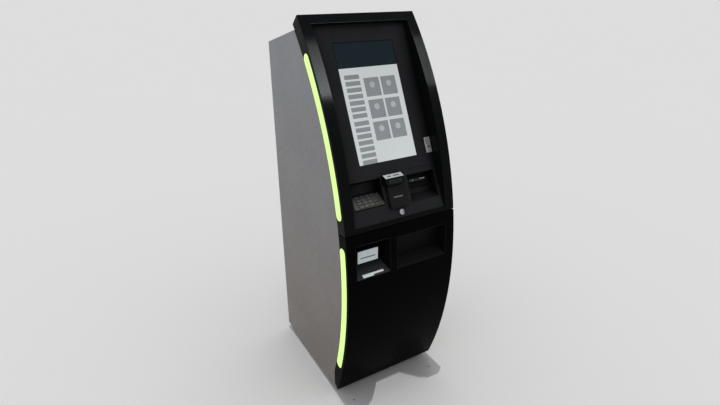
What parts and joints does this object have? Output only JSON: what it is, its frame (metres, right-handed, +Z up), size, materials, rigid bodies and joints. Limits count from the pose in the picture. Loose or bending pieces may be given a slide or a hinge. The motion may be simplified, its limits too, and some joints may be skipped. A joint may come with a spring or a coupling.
{
  "type": "automated teller machine kiosk",
  "caption": "Free-standing cash kiosk with a curved front, portrait screen, key pad, card and note slots, lift-up fascia and tilting lower door.",
  "frame": {"origin": "middle of the footprint, on the floor", "axes": "+Z up, +X to the right of a user facing the machine, +Y from the user towards the rear"},
  "size_m": [0.583, 0.772, 1.817],
  "materials": {
    "plate_steel": "brushed, lightly worn",
    "cabinet_paint": "satin metallic grey paint",
    "inner_zinc": "zinc plate",
    "safe_paint": "dark grey paint",
    "handle_steel": "satin",
    "module_case": "matte",
    "inlet_black": "moulded",
    "gloss_black": "piano black",
    "console_black": "fine satin texture",
    "recess_black": "fine moulded grain",
    "screen_glass": "lit display under clear glass",
    "pad_steel": "brushed",
    "key_steel": "satin",
    "reader_silver": "silver paint",
    "reader_black": "moulded",
    "coin_steel": "brushed",
    "lock_chrome": "polished",
    "lip_white": "white",
    "strip_lime": "lit lime diffuser"
  },
  "bodies": {
    "cabinet": {"base_plate": "plate_steel", "cash_cassette_1": "module_case", "cash_cassette_2": "module_case", "cash_dispenser": "module_case", "control_computer": "module_case", "door_bracket_left": "inner_zinc", "door_bracket_right": "inner_zinc", "fascia_bracket_left": "inner_zinc", "fascia_bracket_right": "inner_zinc", "floor_tray": "inner_zinc", "mid_shelf": "inner_zinc", "power_inlet": "inlet_black", "rear_panel": "cabinet_paint", "safe_body": "safe_paint", "safe_door": "safe_paint", "side_panel_left": "cabinet_paint", "side_panel_right": "cabinet_paint", "top_cover": "cabinet_paint"},
    "fascia": {"fascia_frame": "gloss_black", "console_panel": "console_black", "display_glass": "screen_glass", "display_module": "module_case", "pin_pad": "pad_steel", "card_reader": "reader_silver", "tap_reader": "reader_black", "code_scanner": "reader_black", "coin_bezel": "coin_steel", "light_strip_upper_left": "strip_lime", "light_strip_upper_right": "strip_lime", "fascia_arm_left": "handle_steel", "fascia_arm_right": "handle_steel"},
    "lower_door": {"door_shell": "gloss_black", "bill_recess": "recess_black", "cash_recess": "recess_black", "bill_acceptor": "reader_silver", "ticket_lip": "lip_white", "shutter_guide": "inner_zinc", "light_strip_lower_left": "strip_lime", "light_strip_lower_right": "strip_lime", "door_arm_left": "handle_steel", "door_arm_right": "handle_steel"},
    "fascia_lock": {"fascia_lock": "lock_chrome"},
    "cash_shutter": {"cash_shutter": "recess_black"},
    "safe_handle": {"safe_handle": "handle_steel"},
    "key_11": {"key_11": "key_steel"},
    "key_12": {"key_12": "key_steel"},
    "key_13": {"key_13": "key_steel"},
    "key_14": {"key_14": "key_steel"},
    "key_21": {"key_21": "key_steel"},
    "key_22": {"key_22": "key_steel"},
    "key_23": {"key_23": "key_steel"},
    "key_24": {"key_24": "key_steel"},
    "key_31": {"key_31": "key_steel"},
    "key_32": {"key_32": "key_steel"},
    "key_33": {"key_33": "key_steel"},
    "key_34": {"key_34": "key_steel"},
    "key_41": {"key_41": "key_steel"},
    "key_42": {"key_42": "key_steel"},
    "key_43": {"key_43": "key_steel"},
    "key_44": {"key_44": "key_steel"}
  },
  "joints": [
    {"name": "cam_lock_turn", "type": "hinge", "parent": "fascia", "child": "fascia_lock", "pos_m": [0.006, -0.33818, 1.01104], "axis": [0, 0.9015, -0.4329], "range_deg": [0, 90]},
    {"name": "cash_shutter_slide", "type": "slide", "parent": "lower_door", "child": "cash_shutter", "axis": [0, 0, 1], "range_m": [0, 0.04]},
    {"name": "door_tilt", "type": "hinge", "parent": "cabinet", "child": "lower_door", "pos_m": [0, -0.235, 0.058], "axis": [1, 0, 0], "range_deg": [0, 50]},
    {"name": "fascia_lift", "type": "hinge", "parent": "cabinet", "child": "fascia", "pos_m": [0, 0.10038, 1.73042], "axis": [-1, 0, 0], "range_deg": [0, 42]},
    {"name": "handle_turn", "type": "hinge", "parent": "cabinet", "child": "safe_handle", "pos_m": [0.08, -0.1303, 0.48], "axis": [0, -1, 0], "range_deg": [0, 90]},
    {"name": "key_11_press", "type": "slide", "parent": "fascia", "child": "key_11", "axis": [0, 0.4182, -0.9084], "range_m": [0, 0.0015], "stiffness_N_per_m": 400, "springref_m": -0.0012},
    {"name": "key_12_press", "type": "slide", "parent": "fascia", "child": "key_12", "axis": [0, 0.4182, -0.9084], "range_m": [0, 0.0015], "stiffness_N_per_m": 400, "springref_m": -0.0012},
    {"name": "key_13_press", "type": "slide", "parent": "fascia", "child": "key_13", "axis": [0, 0.4182, -0.9084], "range_m": [0, 0.0015], "stiffness_N_per_m": 400, "springref_m": -0.0012},
    {"name": "key_14_press", "type": "slide", "parent": "fascia", "child": "key_14", "axis": [0, 0.4182, -0.9084], "range_m": [0, 0.0015], "stiffness_N_per_m": 400, "springref_m": -0.0012},
    {"name": "key_21_press", "type": "slide", "parent": "fascia", "child": "key_21", "axis": [0, 0.4182, -0.9084], "range_m": [0, 0.0015], "stiffness_N_per_m": 400, "springref_m": -0.0012},
    {"name": "key_22_press", "type": "slide", "parent": "fascia", "child": "key_22", "axis": [0, 0.4182, -0.9084], "range_m": [0, 0.0015], "stiffness_N_per_m": 400, "springref_m": -0.0012},
    {"name": "key_23_press", "type": "slide", "parent": "fascia", "child": "key_23", "axis": [0, 0.4182, -0.9084], "range_m": [0, 0.0015], "stiffness_N_per_m": 400, "springref_m": -0.0012},
    {"name": "key_24_press", "type": "slide", "parent": "fascia", "child": "key_24", "axis": [0, 0.4182, -0.9084], "range_m": [0, 0.0015], "stiffness_N_per_m": 400, "springref_m": -0.0012},
    {"name": "key_31_press", "type": "slide", "parent": "fascia", "child": "key_31", "axis": [0, 0.4182, -0.9084], "range_m": [0, 0.0015], "stiffness_N_per_m": 400, "springref_m": -0.0012},
    {"name": "key_32_press", "type": "slide", "parent": "fascia", "child": "key_32", "axis": [0, 0.4182, -0.9084], "range_m": [0, 0.0015], "stiffness_N_per_m": 400, "springref_m": -0.0012},
    {"name": "key_33_press", "type": "slide", "parent": "fascia", "child": "key_33", "axis": [0, 0.4182, -0.9084], "range_m": [0, 0.0015], "stiffness_N_per_m": 400, "springref_m": -0.0012},
    {"name": "key_34_press", "type": "slide", "parent": "fascia", "child": "key_34", "axis": [0, 0.4182, -0.9084], "range_m": [0, 0.0015], "stiffness_N_per_m": 400, "springref_m": -0.0012},
    {"name": "key_41_press", "type": "slide", "parent": "fascia", "child": "key_41", "axis": [0, 0.4182, -0.9084], "range_m": [0, 0.0015], "stiffness_N_per_m": 400, "springref_m": -0.0012},
    {"name": "key_42_press", "type": "slide", "parent": "fascia", "child": "key_42", "axis": [0, 0.4182, -0.9084], "range_m": [0, 0.0015], "stiffness_N_per_m": 400, "springref_m": -0.0012},
    {"name": "key_43_press", "type": "slide", "parent": "fascia", "child": "key_43", "axis": [0, 0.4182, -0.9084], "range_m": [0, 0.0015], "stiffness_N_per_m": 400, "springref_m": -0.0012},
    {"name": "key_44_press", "type": "slide", "parent": "fascia", "child": "key_44", "axis": [0, 0.4182, -0.9084], "range_m": [0, 0.0015], "stiffness_N_per_m": 400, "springref_m": -0.0012}
  ]
}
